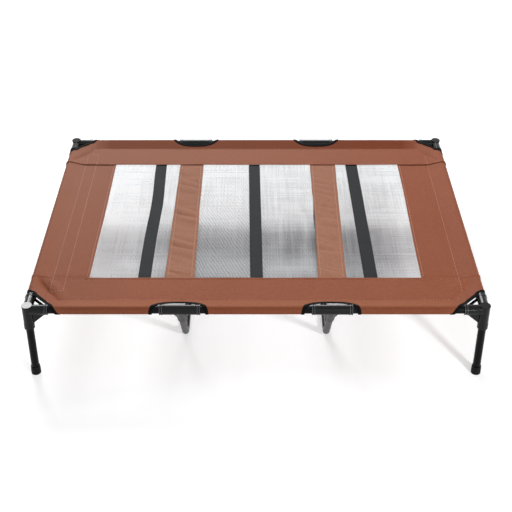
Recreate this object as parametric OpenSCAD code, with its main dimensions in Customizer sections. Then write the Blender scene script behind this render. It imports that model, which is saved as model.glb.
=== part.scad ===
// Raised dog cot. Moulded corner and tee connectors join tube rails into a flat frame on four plug-in legs.
// Two bent supports run under it from the front rail to the back rail, and a sewn cover is stretched over
// the rails, which pass through its hemmed sleeves.
// Millimetres, +Z up, +X along the length, +Y to the back, origin on the floor under the middle of the cot.

/* [Overall size] */
// Length over the corner connectors
cot_length = 1219; // [1050:1:1400]
// Width over the corner connectors
cot_width = 914; // [760:1:1050]
// Height from the floor to the top of the corner connectors
cot_height = 229; // [190:1:300]

/* [Tubes] */
// Outside diameter of the rails
rail_od = 21; // [18:0.5:24]
// Outside diameter of the legs
leg_od = 21; // [18:0.5:24]
// Outside diameter of the bent supports
support_od = 19; // [16:0.5:20]
// Wall of every tube
tube_wall = 1.2; // [0.8:0.1:2]
// Radial clearance of a tube in its socket
socket_clearance = 0.08; // [0.03:0.01:0.1]

/* [Corner connectors] */
// Plastic wall round each rail
socket_wall = 2.7; // [2:0.1:3.5]
// Plastic wall round each leg
barrel_wall = 3; // [2.2:0.1:3.8]
// Solid plastic between a tube's end and the outside of a tube that it meets
core_web = 5; // [3:0.5:8]
// Distance from the leg axis to the mouth of a rail socket
corner_reach = 54; // [45:1:65]
// Distance from the rail axis down to the mouth of the leg socket
barrel_drop = 59; // [48:1:75]
// Height of the thick collar at the mouth of the leg socket
collar_height = 16; // [8:1:22]
// Radial step of the collar beyond the barrel
collar_step = 0.7; // [0.4:0.1:1.5]
// Thickness of the round cap on the barrel
cap_thickness = 3; // [2:0.5:5]
// Rise of the cap above the sockets
cap_rise = 1.2; // [1.2:0.1:3]
// Bevel on the rims of the moulded parts
rim_bevel = 0.8; // [0.3:0.1:1]
// Height of the ribs round a socket mouth
rib_height = 1.1; // [0.4:0.1:1.1]
// Width of each of the two ribs
rib_width = 2.6; // [1.5:0.1:4]
// Space between the two ribs
rib_gap = 3.4; // [2:0.1:5]
// Thickness of the webs that brace the sockets
gusset_thickness = 6; // [4:0.5:8]
// Distance from the leg axis to the foot of a web on its socket
gusset_reach = 46.5; // [26:0.5:48]
// Distance from the rail axis down to the foot of a web on the barrel
gusset_drop = 42; // [30:1:46]
// Width of the level brace across the angle between the two sockets
brace_width = 5; // [3:0.5:8]

/* [Tee connectors] */
// Length of a tee along its rail
tee_length = 107; // [90:1:130]
// Thickness of the stop in the middle of a tee
tee_stop = 4; // [2:0.5:8]
// Length of the stem from the rail axis
tee_stem_length = 90; // [70:1:110]
// Half width of the web at the foot of the stem
tee_gusset = 28; // [22:1:36]
// Distance from the rail axis down the stem to the end of its web
tee_gusset_drop = 72; // [50:1:80]

/* [Bent supports] */
// Distance between the two supports
support_spacing = 397; // [340:1:460]
// Distance from a long rail to the point where the support's slope meets its floor run
support_inset = 158; // [120:1:190]
// Centre-line radius of the bends
bend_radius = 45; // [35:1:70]
// Swell of the tube wall in a bend, inside and out
bend_swell = 0.06; // [0.04:0.01:0.1]
// Angle by which a swollen bend laps each straight run
bend_lap = 1.5; // [1:0.1:2]

/* [Foot caps] */
// Outside diameter of a foot cap
foot_od = 26; // [25:0.5:30]
// Height of a foot cap
foot_height = 25; // [18:1:35]
// Thickness of the cap under the leg
foot_floor = 4; // [2:0.5:6]
// Height of the thicker tread at the bottom of the cap
foot_tread = 17; // [10:1:20]
// Radial step from the tread to the cuff above it
foot_step = 0.6; // [0.3:0.1:1]

/* [Cover] */
// Thickness of the border cloth
cloth = 1.2; // [0.8:0.1:2]
// Clearance between a rail and its sleeve
sleeve_clearance = 0.3; // [0.2:0.05:0.5]
// Distance from the rail axis to the seam that closes a sleeve
seam_reach = 39; // [32:1:50]
// Distance from the rail axis to the edge of the mesh
border_width = 142; // [110:1:170]
// Thickness of the mesh
mesh_thickness = 0.8; // [0.5:0.1:1.2]
// Width of the mesh that is sewn under the border
mesh_lap = 15; // [8:1:25]
// Largest pitch of the openings that stand for the holes of the mesh
mesh_pitch = 64; // [50:1:90]
// Width of the bars between them
mesh_bar = 8; // [5:0.5:12]
// Width of a cloth strip
strip_width = 80; // [50:1:100]
// Distance from a support out to the middle of the cloth strip over it
strip_offset = 9; // [0:1:20]
// Width of a webbing strip
webbing_width = 37; // [25:1:50]
// Distance from the middle webbing strip to the outer ones
webbing_spacing = 308; // [290:1:340]
// Thickness of the edge binding
binding = 0.8; // [0.5:0.1:1.2]
// Width of the edge binding
binding_width = 7; // [5:0.5:9]
// Clearance between the binding and the cloth
binding_clearance = 0.05; // [0.02:0.01:0.1]
// Distance from the leg axis out to the centre of the round corner cut, along both rails
corner_cut_offset = 42; // [36:1:60]
// Clearance between the corner cut and the socket ribs
corner_cut_clearance = 3; // [2:0.5:6]
// Room beside a tee in the cut for it
tee_cut_side = 21; // [16:1:32]
// Squareness of the cut for a tee: 2 is an ellipse, and a higher power has a flatter end
tee_cut_power = 2.8; // [2.6:0.1:4]
// Room behind a tee in the cut for it
tee_cut_end = 6; // [6:0.5:15]

/* [Hidden] */
$fn = 64;
// Overlap of a cut past the face that it opens
past = 1;
// Half height of the upright cutters for the cover
cutter_height = 40;
// Facets of the round part of a sleeve, and degrees between the points of a tee cut
sleeve_facets = 22;
tee_cut_step = 10;
plastic_colour = [0.06, 0.06, 0.065];
tube_colour = [0.13, 0.13, 0.135];
rubber_colour = [0.05, 0.05, 0.05];
cloth_colour = [0.56, 0.35, 0.26];
mesh_colour = [0.80, 0.81, 0.82];
webbing_colour = [0.26, 0.27, 0.28];

rail_bore = rail_od / 2 + socket_clearance;
leg_bore = leg_od / 2 + socket_clearance;
support_bore = support_od / 2 + socket_clearance;
socket_radius = rail_bore + socket_wall;
rib_radius = socket_radius + rib_height;
barrel_radius = leg_bore + barrel_wall;
collar_radius = barrel_radius + collar_step;
stem_radius = support_bore + socket_wall;
// Distance from an axis to the blind end of a socket that meets it
rail_core = leg_od / 2 + core_web;
leg_core = rail_od / 2 + core_web;
cap_top = socket_radius + cap_rise;

rail_x = cot_length / 2 - collar_radius;
rail_y = cot_width / 2 - collar_radius;
rail_z = cot_height - cap_top;
support_x = support_spacing / 2;
mesh_x = rail_x - border_width;
mesh_y = rail_y - border_width;

// The slope of a support runs from the rail axis to the axis of its floor run, and the bends touch the floor
floor_run_z = support_od / 2 + bend_swell;
slope_drop = rail_z - floor_run_z;
slope_lean = atan2(support_inset, slope_drop);
slope_length = norm([support_inset, slope_drop]);
bend_turn = 90 - slope_lean;
bend_tangent = bend_radius * tan(bend_turn / 2);
floor_run_y = rail_y - support_inset - bend_tangent;

sleeve_inner = rail_od / 2 + sleeve_clearance;
sleeve_outer = sleeve_inner + cloth;
// Angle, from the sheet, at which the two layers of a sleeve leave the rail
seam_angle = acos(sleeve_inner / seam_reach);
corner_cut_radius = norm([corner_reach + corner_cut_offset, rib_radius + corner_cut_offset])
    + corner_cut_clearance;
tee_cut_half = tee_length / 2 + tee_cut_side;
tee_cut_depth = sleeve_outer + rib_radius + tee_cut_end;

CORNERS = [["front_left", -1, -1], ["front_right", 1, -1], ["back_left", -1, 1], ["back_right", 1, 1]];
LONG_SIDES = [["front", -1], ["back", 1]];
SHORT_SIDES = [["left", -1], ["right", 1]];
THIRDS = [["left", -1], ["middle", 0], ["right", 1]];

// Placing

module along_x() { rotate([0, 90, 0]) children(); }

module along_y() { rotate([-90, 0, 0]) children(); }

// Turns a section drawn as (inwards, up) so that it is carried along X, or along Y
module carry_along_x(length) { rotate([90, 0, 90]) linear_extrude(length, center = true) children(); }

module carry_along_y(length) { rotate([90, 0, 0]) linear_extrude(length, center = true) children(); }

// Puts a shape made for the front left, with its inside towards +X and +Y, at the named side or corner
module facing(side_x, side_y) { mirror([side_x > 0 ? 1 : 0, 0, 0]) mirror([0, side_y > 0 ? 1 : 0, 0]) children(); }

module at_corner(side_x, side_y) { facing(side_x, side_y) translate([-rail_x, -rail_y, rail_z]) children(); }

module at_tee(side_x, side_y) { facing(side_x, side_y) translate([-support_x, -rail_y, rail_z]) children(); }

// Frame

module tube(length, od) {
    color(tube_colour)
    linear_extrude(length) difference() {
        circle(d = od);
        circle(d = od - 2 * tube_wall);
    }
}

// A socket along +Z, with a pair of ribs at its mouth
module ribbed_socket(start, reach) {
    inner_rib = reach - 2 * rib_width - rib_gap;
    rotate_extrude() polygon([
        [0, start],
        [socket_radius, start],
        [socket_radius, inner_rib],
        [rib_radius, inner_rib],
        [rib_radius, inner_rib + rib_width],
        [socket_radius, inner_rib + rib_width],
        [socket_radius, reach - rib_width],
        [rib_radius, reach - rib_width],
        [rib_radius, reach],
        [0, reach],
    ]);
}

// The upright barrel of a corner, with its collar below and its cap on top
module barrel() {
    collar_top = collar_height - barrel_drop;
    cap_base = cap_top - cap_thickness;
    rotate_extrude() polygon([
        [0, -barrel_drop],
        [collar_radius - rim_bevel, -barrel_drop],
        [collar_radius, rim_bevel - barrel_drop],
        [collar_radius, collar_top],
        [barrel_radius, collar_top + rim_bevel],
        [barrel_radius, cap_base - rim_bevel],
        [collar_radius, cap_base],
        [collar_radius, cap_top - rim_bevel],
        [collar_radius - rim_bevel, cap_top],
        [0, cap_top],
    ]);
}

// A web under a socket, drawn as (away from the leg axis, up)
module corner_gusset() {
    polygon([
        [0, 0],
        [gusset_reach, 0],
        [gusset_reach, rim_bevel - socket_radius],
        [barrel_radius - rim_bevel, -gusset_drop],
        [0, -gusset_drop],
    ]);
}

// The level brace across the angle between the two sockets, with an opening behind it
module level_brace() {
    foot = socket_radius - rim_bevel;
    inner = gusset_reach - brace_width * sqrt(2);
    linear_extrude(gusset_thickness, center = true) polygon([
        [inner, foot],
        [gusset_reach, foot],
        [foot, gusset_reach],
        [foot, inner],
    ]);
}

module corner_connector() {
    // The sockets start beside the leg axis, inside the barrel
    socket_start = barrel_radius / 3;
    color(plastic_colour)
    difference() {
        union() {
            barrel();
            along_x() ribbed_socket(socket_start, corner_reach);
            along_y() ribbed_socket(socket_start, corner_reach);
            carry_along_y(gusset_thickness) corner_gusset();
            carry_along_x(gusset_thickness) corner_gusset();
            level_brace();
        }
        translate([0, 0, -barrel_drop - past]) cylinder(h = barrel_drop - leg_core + past, r = leg_bore);
        along_x() translate([0, 0, rail_core]) cylinder(h = corner_reach - rail_core + past, r = rail_bore);
        along_y() translate([0, 0, rail_core]) cylinder(h = corner_reach - rail_core + past, r = rail_bore);
    }
}

// Turns +Z down the slope of a support, from the rail axis
module down_slope() { rotate([180 + slope_lean, 0, 0]) children(); }

module tee_connector() {
    stem_start = socket_radius / 3;
    blind = tee_stop / 2;
    color(plastic_colour)
    difference() {
        union() {
            along_x() ribbed_socket(0, tee_length / 2);
            mirror([1, 0, 0]) along_x() ribbed_socket(0, tee_length / 2);
            down_slope() rotate_extrude() polygon([
                [0, stem_start],
                [stem_radius, stem_start],
                [stem_radius, tee_stem_length - rim_bevel],
                [stem_radius - rim_bevel, tee_stem_length],
                [0, tee_stem_length],
            ]);
            down_slope() carry_along_y(gusset_thickness) polygon([
                [-tee_gusset, stem_start],
                [tee_gusset, stem_start],
                [stem_radius - rim_bevel, tee_gusset_drop],
                [rim_bevel - stem_radius, tee_gusset_drop],
            ]);
        }
        along_x() translate([0, 0, blind]) cylinder(h = tee_length / 2, r = rail_bore);
        mirror([1, 0, 0]) along_x() translate([0, 0, blind]) cylinder(h = tee_length / 2, r = rail_bore);
        down_slope() translate([0, 0, leg_core]) cylinder(h = tee_stem_length - leg_core + past, r = support_bore);
    }
}

// A third of a long rail: the outer ones run from a corner to a tee, the middle one between two tees
module long_rail(third) {
    inner_end = support_x + tee_stop / 2;
    outer_length = rail_x - rail_core - inner_end;
    middle_length = support_spacing - tee_stop;
    translate([0, -rail_y, rail_z])
    if (third == 0)
        translate([-middle_length / 2, 0, 0]) along_x() tube(middle_length, rail_od);
    else
        mirror([third < 0 ? 1 : 0, 0, 0]) translate([inner_end, 0, 0]) along_x() tube(outer_length, rail_od);
}

module side_rail() {
    length = 2 * (rail_y - rail_core);
    translate([-rail_x, -length / 2, rail_z]) along_y() tube(length, rail_od);
}

// The front bend of a support, round an axis along X
module support_bend() {
    color(tube_colour)
    rotate([90, 0, 90]) rotate([0, 0, 270 - bend_turn - bend_lap])
    rotate_extrude(angle = bend_turn + 2 * bend_lap) translate([bend_radius, 0]) difference() {
        circle(d = support_od + 2 * bend_swell);
        circle(d = support_od - 2 * (tube_wall + bend_swell));
    }
}

module support() {
    slope_end = slope_length - bend_tangent;
    translate([-support_x, 0, 0]) {
        for (back = [0, 1])
            mirror([0, back, 0]) {
                translate([0, -rail_y, rail_z]) down_slope()
                    translate([0, 0, leg_core]) tube(slope_end - leg_core, support_od);
                translate([0, -floor_run_y, floor_run_z + bend_radius]) support_bend();
            }
        translate([0, -floor_run_y, floor_run_z]) along_y() tube(2 * floor_run_y, support_od);
    }
}

module leg_tube() {
    translate([-rail_x, -rail_y, foot_floor]) tube(rail_z - leg_core - foot_floor, leg_od);
}

module foot_cap() {
    tread_radius = foot_od / 2;
    cuff_radius = tread_radius - foot_step;
    color(rubber_colour)
    translate([-rail_x, -rail_y, 0])
    rotate_extrude() polygon([
        [0, 0],
        [tread_radius - rim_bevel, 0],
        [tread_radius, rim_bevel],
        [tread_radius, foot_tread],
        [cuff_radius, foot_tread + foot_step],
        [cuff_radius, foot_height - rim_bevel / 2],
        [cuff_radius - rim_bevel / 2, foot_height],
        [leg_bore, foot_height],
        [leg_bore, foot_floor],
        [0, foot_floor],
    ]);
}

// Cover

// Points round the rail, from the upper to the lower layer of a sleeve
function sleeve_arc(radius) = [
    for (k = [0:sleeve_facets])
        let (angle = seam_angle + (360 - 2 * seam_angle) * k / sleeve_facets)
        radius * [cos(angle), sin(angle)]
];

// Outside of a border of the given sleeve radius and half thickness, drawn as (inwards, up)
function border_outline(radius, half, edge) =
    let (join = (radius - half * sin(seam_angle)) / cos(seam_angle))
    concat([[edge, half], [join, half]], sleeve_arc(radius), [[join, -half], [edge, -half]]);

// A sleeve that closes at its seam, with the sheet running on to the mesh
module border_section() {
    difference() {
        polygon(border_outline(sleeve_outer, cloth / 2, border_width));
        polygon(concat([[seam_reach, 0]], sleeve_arc(sleeve_inner)));
    }
}

// A skin on both sides of the border, for the binding of its cut edges
module binding_section() {
    gap = binding_clearance;
    difference() {
        polygon(border_outline(sleeve_outer + gap + binding, cloth / 2 + gap + binding, border_width));
        polygon(border_outline(sleeve_outer + gap, cloth / 2 + gap, border_width + past));
    }
}

module upright() { translate([0, 0, rail_z - cutter_height]) linear_extrude(2 * cutter_height) children(); }

// The front border with its section as children: along the front rail, and round each side rail up to the
// front edge of the mesh, where the front panel overlaps the side panels
module front_panel() {
    reach = 2 * sleeve_outer;
    intersection() {
        translate([0, -rail_y, rail_z]) carry_along_x(2 * (rail_x + reach)) children();
        upright() polygon([
            [-rail_x - reach, -rail_y - reach],
            [rail_x + reach, -rail_y - reach],
            [mesh_x, -mesh_y],
            [-mesh_x, -mesh_y],
        ]);
    }
    for (side = [-1, 1])
        facing(side, -1) intersection() {
            translate([-rail_x, 0, rail_z]) carry_along_y(2 * (rail_y + reach)) children();
            upright() polygon([
                [-rail_x - reach, -rail_y - reach],
                [-mesh_x, -mesh_y],
                [-rail_x - reach, -mesh_y],
            ]);
        }
}

module corner_cut(widen) {
    translate([-rail_x - corner_cut_offset, -rail_y - corner_cut_offset]) circle(corner_cut_radius + widen);
}

// Cosine or sine drawn out to the power of the tee cut
function squared(ratio) = sign(ratio) * pow(abs(ratio), 2 / tee_cut_power);

// Half of this squared ellipse lies in front of the cover
module tee_cut(widen) {
    translate([-support_x, -rail_y - sleeve_outer])
        polygon([
            for (angle = [0:tee_cut_step:360 - tee_cut_step])
                [(tee_cut_half + widen) * squared(cos(angle)), (tee_cut_depth + widen) * squared(sin(angle))]
        ]);
}

module long_border() {
    color(cloth_colour)
    difference() {
        front_panel() border_section();
        for (side = [-1, 1])
            facing(side, -1) upright() {
                corner_cut(0);
                tee_cut(0);
            }
    }
}

module side_border() {
    color(cloth_colour)
    translate([-rail_x, 0, rail_z]) carry_along_y(2 * mesh_y) border_section();
}

module corner_binding() {
    color(webbing_colour)
    intersection() {
        front_panel() binding_section();
        upright() difference() {
            corner_cut(binding_width);
            corner_cut(0);
        }
    }
}

module tee_binding() {
    color(webbing_colour)
    intersection() {
        translate([-support_x, -rail_y, rail_z]) carry_along_x(2 * (tee_cut_half + binding_width) + past)
            binding_section();
        upright() difference() {
            tee_cut(binding_width);
            tee_cut(0);
        }
    }
}

// The bays of mesh between the strips, on the right of the middle one, each as [start, end]
strip_x = support_x + strip_offset;
MESH_BAYS = [
    [webbing_width / 2, strip_x - strip_width / 2],
    [strip_x + strip_width / 2, webbing_spacing - webbing_width / 2],
    [webbing_spacing + webbing_width / 2, mesh_x],
];

// A grid of openings that fills a bay with no pitch over the largest, and half a bar left round its edge
module bay_openings(bay) {
    columns = ceil((bay[1] - bay[0]) / mesh_pitch);
    rows = ceil(2 * mesh_y / mesh_pitch);
    pitch_x = (bay[1] - bay[0]) / columns;
    pitch_y = 2 * mesh_y / rows;
    for (column = [0.5:1:columns], row = [0.5:1:rows])
        translate([bay[0] + column * pitch_x, row * pitch_y - mesh_y])
            square([pitch_x - mesh_bar, pitch_y - mesh_bar], center = true);
}

// The mesh lies under the border, and the strips lie on the mesh
module mesh_panel() {
    color(mesh_colour)
    translate([0, 0, rail_z - cloth / 2 - mesh_thickness])
        linear_extrude(mesh_thickness) difference() {
            square(2 * [mesh_x + mesh_lap, mesh_y + mesh_lap], center = true);
            for (side = SHORT_SIDES, bay = MESH_BAYS) facing(-side[1], -1) bay_openings(bay);
        }
}

module strip(middle, width) {
    translate([middle, 0, rail_z]) linear_extrude(cloth, center = true)
        square([width, 2 * mesh_y], center = true);
}

module cover_strip(side) { color(cloth_colour) strip(side * strip_x, strip_width); }

module webbing(third) { color(webbing_colour) strip(third * webbing_spacing, webbing_width); }

for (c = CORNERS) {
    at_corner(c[1], c[2]) corner_connector();
    at_tee(c[1], c[2]) tee_connector();
    facing(c[1], c[2]) leg_tube();
    facing(c[1], c[2]) foot_cap();
    facing(c[1], c[2]) corner_binding();
    facing(c[1], c[2]) tee_binding();
}
for (s = LONG_SIDES) {
    for (t = THIRDS)
        facing(-1, s[1]) long_rail(t[1]);
    facing(-1, s[1]) long_border();
}
for (s = SHORT_SIDES) {
    facing(s[1], -1) side_rail();
    facing(s[1], -1) support();
    facing(s[1], -1) side_border();
    cover_strip(s[1]);
}
for (t = THIRDS)
    webbing(t[1]);
mesh_panel();
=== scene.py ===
"""A raised dog cot: a low frame of coated tubes in moulded joints, with a sewn cover of cloth and mesh.

Everything is in metres in the part's own frame, with the floor at z = 0 and the long sides along x.
"""
import math

import bmesh
import bpy
import numpy as np
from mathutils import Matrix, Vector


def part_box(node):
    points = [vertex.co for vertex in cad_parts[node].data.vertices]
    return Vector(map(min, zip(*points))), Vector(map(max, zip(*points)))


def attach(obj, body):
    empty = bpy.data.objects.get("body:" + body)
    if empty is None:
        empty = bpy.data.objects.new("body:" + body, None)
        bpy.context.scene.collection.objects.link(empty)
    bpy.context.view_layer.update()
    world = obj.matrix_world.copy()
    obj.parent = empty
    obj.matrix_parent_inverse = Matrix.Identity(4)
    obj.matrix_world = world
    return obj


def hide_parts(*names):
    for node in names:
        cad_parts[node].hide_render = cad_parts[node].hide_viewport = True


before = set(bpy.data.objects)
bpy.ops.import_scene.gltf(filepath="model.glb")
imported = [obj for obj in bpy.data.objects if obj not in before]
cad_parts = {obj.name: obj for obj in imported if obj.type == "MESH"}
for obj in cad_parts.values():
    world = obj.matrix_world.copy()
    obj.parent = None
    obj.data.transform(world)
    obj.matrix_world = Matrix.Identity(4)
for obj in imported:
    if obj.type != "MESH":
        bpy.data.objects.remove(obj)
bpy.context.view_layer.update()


# Rails: round steel tubes with a thin satin black coating, pushed into the moulded joints.
# They are the solids of the part itself, and show only where the cover is cut away at the joints.
mm = 0.001
rail_x, rail_y, rail_z = 595.22 * mm, 442.72 * mm, 214.52 * mm


def paint(red, green, blue):
    """Screen values from 0 to 255 as the linear colour that shaders use."""
    screen = np.array([red, green, blue]) / 255.0
    linear = np.where(screen <= 0.04045, screen / 12.92, ((screen + 0.055) / 1.055) ** 2.4)
    return (*linear.tolist(), 1.0)


def add_node(kind, inputs, **settings):
    """A new node in its inputs' tree. An input that is another node's output is linked, any other is set."""
    tree = next(value.id_data for value in inputs.values() if isinstance(value, bpy.types.NodeSocket))
    made = tree.nodes.new(f"ShaderNode{kind}")
    for key, value in settings.items():
        setattr(made, key, value)
    for key, value in inputs.items():
        if isinstance(value, bpy.types.NodeSocket):
            tree.links.new(value, made.inputs[key])
        else:
            made.inputs[key].default_value = value
    return made


def new_finish(name, **sockets):
    """A material whose Principled shader has these plain values, as (material, tree, shader)."""
    material = bpy.data.materials.new(name)
    material.use_nodes = True
    tree = material.node_tree
    shader = tree.nodes["Principled BSDF"]
    for key, value in sockets.items():
        shader.inputs[key.replace("_", " ")].default_value = value
    return material, tree, shader


def feed(shader, **sockets):
    """Links nodes' outputs to a shader's sockets, whose names have _ for a space."""
    for key, value in sockets.items():
        shader.id_data.links.new(value, shader.inputs[key.replace("_", " ")])


def reckon(operation, *values, clamp=False):
    """One sum, such as ADD or ABSOLUTE, on other nodes' outputs and on numbers."""
    return add_node("Math", dict(enumerate(values)), operation=operation, use_clamp=clamp).outputs[0]


def object_place(tree):
    """Where a point of the piece is, in metres."""
    return tree.nodes.new("ShaderNodeTexCoord").outputs["Object"]


def place_parts(tree):
    """The X, Y and Z of a point of the piece."""
    return add_node("SeparateXYZ", {"Vector": object_place(tree)}).outputs


def cloudy(place, scale, detail=3.0):
    """Soft noise from 0 to 1 with about `scale` clouds to the metre."""
    inputs = {"Vector": place, "Scale": scale, "Detail": detail, "Roughness": 0.55}
    return add_node("TexNoise", inputs).outputs["Fac"]


def spread(value, low, high, start=0.3, end=0.7):
    """A value that runs from start to end, spread so that it runs from low to high, and level beyond."""
    inputs = {"Value": value, "From Min": start, "From Max": end, "To Min": low, "To Max": high}
    return add_node("MapRange", inputs).outputs["Result"]


def tinted(factor, dark, light, blend="MIX"):
    """A colour between two colours, by a factor from 0 to 1."""
    inputs = {"Factor": factor, 6: dark, 7: light}
    return add_node("Mix", inputs, data_type="RGBA", blend_type=blend).outputs[2]


def bumped(shader, height, strength, distance):
    """Relief on a surface: height from 0 to 1 stands for up to `distance` metres, shown at this strength."""
    inputs = {"Height": height, "Strength": strength, "Distance": distance}
    feed(shader, Normal=add_node("Bump", inputs).outputs["Normal"])


def coated_steel(name, dark, light, rough_low, rough_high, specular=0.1):
    """Paint on steel tube: two close tones in soft clouds, a fine orange-peel relief and uneven gloss."""
    material, tree, shader = new_finish(name, Specular_IOR_Level=specular)
    place = object_place(tree)
    clouds = spread(cloudy(place, 38.0), 0.0, 1.0)
    handled = spread(cloudy(place, 14.0, 4.0), rough_low, rough_high)
    feed(shader, Base_Color=tinted(clouds, dark, light), Roughness=handled)
    bumped(shader, cloudy(place, 620.0, 2.0), 0.18, 0.25 * mm)
    return material


def dress(names, material):
    """Gives a finish to solids of the part, by their material slots."""
    for name in names:
        for material_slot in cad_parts[name].material_slots:
            material_slot.material = material


thirds = ("left", "middle", "right")
rail_coat = coated_steel("rail_coat", paint(5, 5, 6), paint(11, 11, 12), 0.26, 0.36)
dress([f"rail_{side}_{third}" for side in ("front", "back") for third in thirds], rail_coat)
dress(["side_rail_left", "side_rail_right"], rail_coat)


# Legs: four upright steel tubes in the same black coating, a little glossier where hands have held them.
# Each slides up into its corner joint and stands in a rubber foot.
corners = ["front_left", "front_right", "back_left", "back_right"]
leg_coat = coated_steel("leg_coat", paint(4, 4, 5), paint(9, 9, 11), 0.22, 0.3)
dress([f"leg_tube_{corner}" for corner in corners], leg_coat)


# Floor supports: two bent black tubes under the middle of the bed, their slopes painted grey as painted
# light from the front. Each hangs from the front and back rails by a tee joint; its run along the floor is
# glossy black.
floor_run_end, slope_start = 280 * mm, 290 * mm


def reopened(material, socket):
    """A finish taken up again: its tree, its shader, and what feeds one of the shader's sockets."""
    tree = material.node_tree
    shader = tree.nodes["Principled BSDF"]
    return tree, shader, shader.inputs[socket].links[0].from_socket


# The grey of the slopes is painted light from the front; the run along the floor keeps the tubes' black.
support_coat = coated_steel("support_coat", paint(68, 69, 71), paint(84, 85, 87), 0.42, 0.56, specular=0.25)
tree, shader, painted_lit_tone = reopened(support_coat, "Base Color")
from_middle = reckon("ABSOLUTE", place_parts(tree)["Y"])
painted_lit_slope = spread(from_middle, 0.0, 1.0, floor_run_end, slope_start)
feed(shader, Base_Color=tinted(painted_lit_slope, paint(6, 6, 7), painted_lit_tone),
     Roughness=spread(painted_lit_slope, 0.16, 0.5, 0.0, 1.0))
dress(["support_left", "support_right"], support_coat)


# Corner joints: black moulded nylon with two ribs at each mouth, two webs, a level brace and a flat cap.
# The mould leaves a fine even grain. Handling has polished the tops, and the crowns of the ribs carry a
# painted highlight.
worn_from, worn_to, worn_smooth = 222.5 * mm, 224.5 * mm, 0.12
crown_half = 0.8 * mm


def moulded_nylon(name, dark, light, rough_low, rough_high, grain):
    """Moulded plastic: nearly even colour, a grain of fine pits, and gloss that changes in broad patches."""
    material, tree, shader = new_finish(name, Specular_IOR_Level=0.22)
    place = object_place(tree)
    streaks = cloudy(place, 46.0, 4.0)
    feed(shader, Base_Color=tinted(spread(streaks, 0.0, 1.0), dark, light),
         Roughness=spread(streaks, rough_high, rough_low))
    pits = add_node("TexVoronoi", {"Vector": place, "Scale": grain}).outputs["Distance"]
    bumped(shader, pits, 0.015, 0.2 * mm)
    return material


def polished_top(material):
    """A moulding's roughness falls to the worn value between two heights near its top."""
    tree, shader, grained = reopened(material, "Roughness")
    worn = spread(place_parts(tree)["Z"], 0.0, 1.0, worn_from, worn_to)
    mixed = add_node("Mix", {"Factor": worn, 2: grained, 3: worn_smooth})
    feed(shader, Roughness=mixed.outputs[0])


def painted_rib_highlights(material, axis, centre, places):
    """A painted highlight: a paler tone on the crowns of ribs. Along an axis, to both sides of the cot's
    middle, they lie at `centre` plus and minus these places."""
    for place in places:
        tree, shader, tone = reopened(material, "Base Color")
        from_middle = reckon("ABSOLUTE", place_parts(tree)[axis])
        along = reckon("ABSOLUTE", reckon("SUBTRACT", from_middle, centre))
        crown = reckon("COMPARE", along, place, crown_half)
        feed(shader, Base_Color=tinted(crown, tone, paint(84, 87, 93)))


joint_nylon = moulded_nylon("joint_nylon", paint(3, 4, 6), paint(8, 9, 12), 0.15, 0.2, 900.0)
polished_top(joint_nylon)
# Painted highlights: paler crowns on the ribs at each mouth.
painted_rib_highlights(joint_nylon, "X", 0.0, (542.5 * mm, 548.5 * mm))
painted_rib_highlights(joint_nylon, "Y", 0.0, (390.0 * mm, 396.0 * mm))
dress([f"corner_connector_{corner}" for corner in corners], joint_nylon)


# Tee joints: the same black nylon, with pairs of ribs at both ends and a stem that widens under the rail.
# They clip round the rail where the cover is cut away, and the support is pushed up into the stem.
tee_place = 198.5 * mm
tee_nylon = moulded_nylon("tee_nylon", paint(3, 4, 6), paint(9, 10, 12), 0.38, 0.48, 820.0)
polished_top(tee_nylon)
# Painted highlights: paler crowns on the ribs at both ends of each tee.
painted_rib_highlights(tee_nylon, "X", tee_place, (46.2 * mm, 52.2 * mm))
dress([f"tee_connector_{corner}" for corner in corners], tee_nylon)


# Feet: soft black rubber cups pushed over the ends of the legs, dull, with dust in the pores.
# They grip by friction alone, so they come away with the leg.
foot_rubber, tree, shader = new_finish("foot_rubber", Specular_IOR_Level=0.12)
place = object_place(tree)
dust = cloudy(place, 120.0, 5.0)
feed(shader, Roughness=spread(dust, 0.46, 0.68),
     Base_Color=tinted(spread(dust, 0.0, 1.0), paint(7, 7, 8), paint(18, 18, 20)))
bumped(shader, cloudy(place, 1500.0, 2.0), 0.2, 0.2 * mm)
dress([f"foot_cap_{corner}" for corner in corners], foot_rubber)


# Bed mesh: a pale coated netting, woven square from round threads, stretched flat inside the borders.
# Its edges run under the borders and are sewn there; the floor shows through between the threads.
scene = bpy.context.scene
mesh_low, mesh_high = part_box("mesh_panel")
thread_pitch, thread_width, thread_height = 2.4 * mm, 0.44 * mm, 0.26 * mm
thread_sides, thread_steps = 6, 22
level_along, level_across = -0.9 * mm, -1.25 * mm
loom_slip = 0.06 * mm
bed_sag = 1.6 * mm
drawn_line, drawn_reach, drawn_shift, drawn_half = -194 * mm, 5 * mm, 2.2 * mm, 2.2 * mm


def patch_faces(rows, columns, first, around):
    """Four-cornered faces over a grid of points that is numbered row by row from `first`. With `around`, the
    last column joins the first again."""
    index = first + np.arange(rows * columns).reshape(rows, columns)
    if around:
        index = np.concatenate([index, index[:, :1]], 1)
    return np.stack([index[:-1, :-1], index[:-1, 1:], index[1:, 1:], index[1:, :-1]], -1).reshape(-1, 4)


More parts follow.
